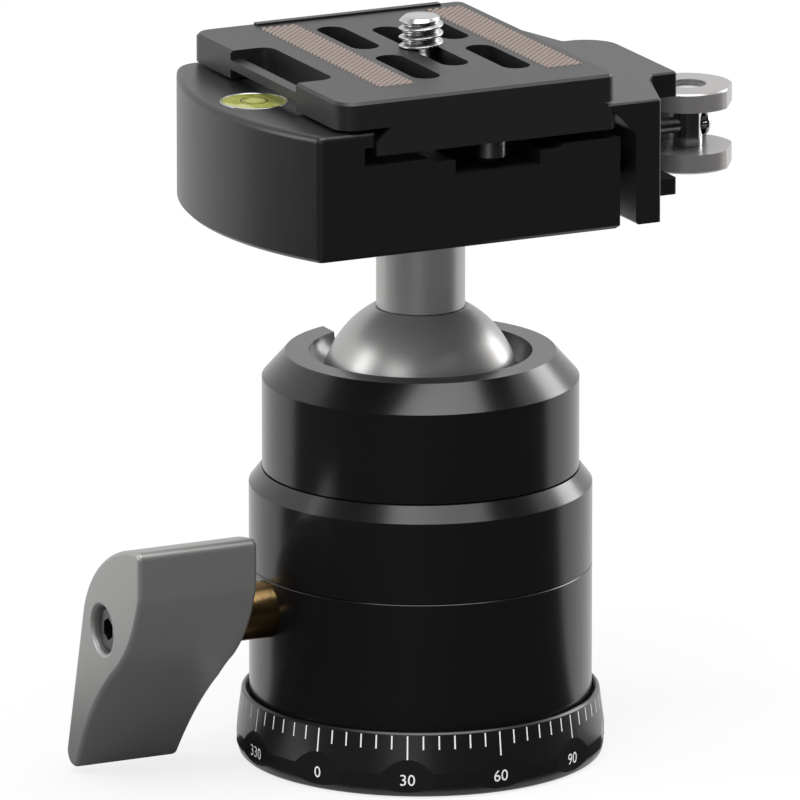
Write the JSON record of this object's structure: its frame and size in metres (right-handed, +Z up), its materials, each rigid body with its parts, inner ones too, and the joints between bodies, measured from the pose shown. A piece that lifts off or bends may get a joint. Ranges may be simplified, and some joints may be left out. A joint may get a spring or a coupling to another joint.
{
  "type": "tripod ball head",
  "caption": "Tripod ball head: panning base with a degree scale, ball and stem with a drop notch, wing lock knob, lever clamp with a bubble level, and a quick-release camera plate.",
  "frame": {"origin": "middle of the base's underside, at the mouth of the tripod thread", "axes": "+Z up along the head's axis; X along the clamp's closing direction with the lever at +X and the level and wing knob at -X; the plate slides along Y and the drop notch faces +Y"},
  "size_m": [0.0996, 0.0539, 0.1078],
  "materials": {
    "black_anodised": "satin",
    "scale_black": "satin",
    "clamp_black": "satin",
    "plate_grey": "satin",
    "ball_grey": "satin",
    "knob_titanium": "satin",
    "lever_grey": "satin",
    "steel": "satin",
    "bright_steel": "polished",
    "brass": "satin",
    "seat_polymer": "matte",
    "grip_rubber": "matte",
    "level_fluid": "gloss"
  },
  "bodies": {
    "base": {"scale_ring": "scale_black", "base_plate": "scale_black", "tripod_bush": "steel", "pan_retainer": "steel", "pan_screws": "steel", "pan_washer": "seat_polymer"},
    "housing": {"lower_body": "black_anodised", "upper_body": "black_anodised", "collar": "black_anodised", "seat_ring": "seat_polymer", "pan_shoe": "brass"},
    "piston": {"pressure_piston": "seat_polymer"},
    "main_lock": {"lock_spindle": "brass", "lock_knob": "knob_titanium", "knob_screw": "steel"},
    "pan_lock": {"pan_knob": "black_anodised", "pan_stud": "steel"},
    "cup": {"ball_cup": "seat_polymer"},
    "ball": {"ball": "ball_grey"},
    "head": {"stem": "ball_grey", "clamp_body": "clamp_black", "clamp_screw": "steel", "level_vial": "level_fluid", "guide_pins": "steel", "tie_rod": "bright_steel", "tie_nut": "bright_steel", "cam_barrel": "bright_steel"},
    "jaw": {"moving_jaw": "clamp_black"},
    "clamp_lever": {"lever": "lever_grey"},
    "plate": {"camera_plate": "plate_grey", "grip_strips": "grip_rubber", "stop_screws": "steel"},
    "clip": {"screw_clip": "steel"},
    "screw": {"camera_screw": "steel"}
  },
  "joints": [
    {"name": "pan", "type": "hinge", "parent": "base", "child": "housing", "pos_m": [0, 0, 0.013], "axis": [0, 0, 1], "continuous": true},
    {"name": "main_lock_turn", "type": "hinge", "parent": "housing", "child": "main_lock", "pos_m": [0, 0, 0.02375], "axis": [1, 0, 0], "range_deg": [-90, 90]},
    {"name": "pan_lock_turn", "type": "hinge", "parent": "housing", "child": "pan_lock", "pos_m": [0, 0, 0.013], "axis": [0.829, 0.5592, 0], "range_deg": [0, 90]},
    {"name": "piston_lift", "type": "slide", "parent": "housing", "child": "piston", "axis": [0, 0, 1], "range_m": [0, 0.0002]},
    {"name": "side_tilt", "type": "hinge", "parent": "housing", "child": "cup", "pos_m": [0, 0, 0.05325], "axis": [0, 1, 0], "range_deg": [-30, 30]},
    {"name": "notch_tilt", "type": "hinge", "parent": "cup", "child": "ball", "pos_m": [0, 0, 0.05325], "axis": [-1, 0, 0], "range_deg": [-30, 90]},
    {"name": "ball_turn", "type": "hinge", "parent": "ball", "child": "head", "pos_m": [0, 0, 0.07], "axis": [0, 0, 1], "continuous": true},
    {"name": "lever_turn", "type": "hinge", "parent": "head", "child": "clamp_lever", "pos_m": [0.0427, 0, 0.088], "axis": [0, 0, 1], "range_deg": [-145, 0]},
    {"name": "jaw_slide", "type": "slide", "parent": "head", "child": "jaw", "axis": [1, 0, 0], "range_m": [0, 0.00065]},
    {"name": "plate_slide", "type": "slide", "parent": "head", "child": "plate", "axis": [0, 1, 0], "range_m": [-0.003, 0.003]},
    {"name": "clip_slide", "type": "slide", "parent": "plate", "child": "clip", "axis": [0, 1, 0], "range_m": [-0.008, 0.008]},
    {"name": "camera_screw_turn", "type": "hinge", "parent": "clip", "child": "screw", "pos_m": [0.001, 0.002, 0.1], "axis": [0, 0, 1], "continuous": true}
  ],
  "couplings": [
    {"joint": "jaw_slide", "follows": "lever_turn", "m_per_rad": -0.00025}
  ]
}
